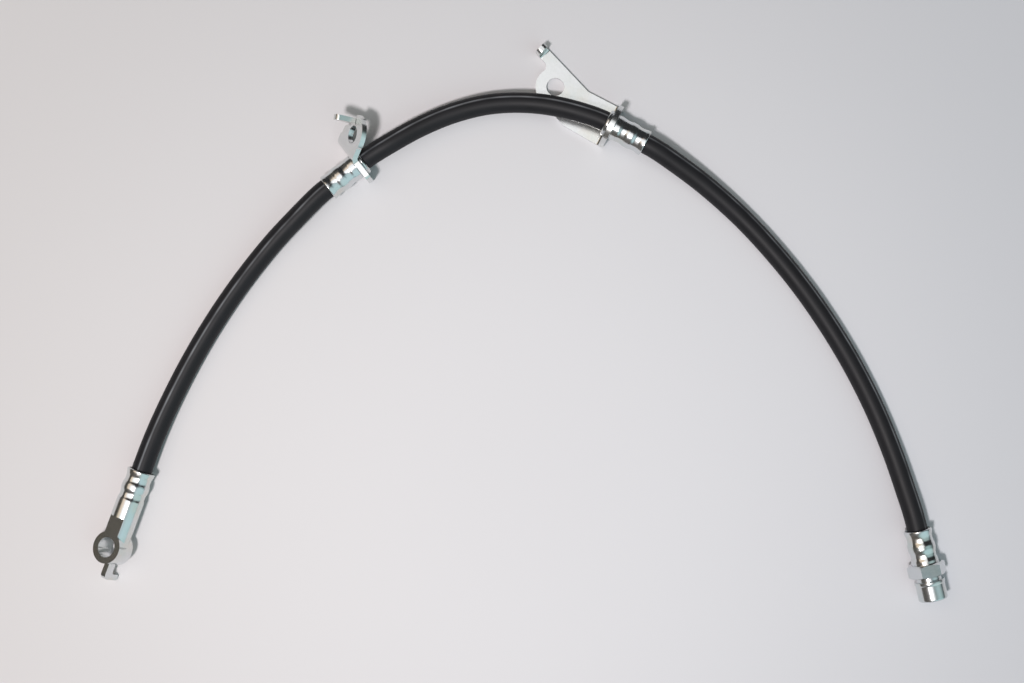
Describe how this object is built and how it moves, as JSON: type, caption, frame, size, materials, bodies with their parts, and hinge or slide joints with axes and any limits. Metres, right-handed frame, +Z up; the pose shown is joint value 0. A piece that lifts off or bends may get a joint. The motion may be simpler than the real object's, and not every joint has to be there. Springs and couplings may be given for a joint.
{
  "type": "brake hose",
  "caption": "Flexible rubber brake hose with a banjo eye at one end, a threaded female end fitting at the other, and stamped mounting brackets crimped on along it.",
  "frame": {"origin": "middle of the outline, on the flat surface that the hose lies on", "axes": "+X from the banjo end's side towards the female end's side, +Y towards the top of the hose's arch, where the brackets are, +Z up from the surface"},
  "size_m": [0.4348, 0.2852, 0.0261],
  "materials": {
    "black_rubber": "matt to satin black, moulded",
    "zinc_steel": "bright zinc plate",
    "dark_steel": "duller zinc plate"
  },
  "bodies": {
    "root": {"hose": "black_rubber", "banjo_fitting": "dark_steel", "banjo_nipple": "zinc_steel", "female_fitting": "zinc_steel", "female_nipple": "zinc_steel", "first_collar": "zinc_steel", "first_bracket": "zinc_steel", "second_collar": "zinc_steel", "second_bracket": "zinc_steel"}
  },
  "joints": []
}
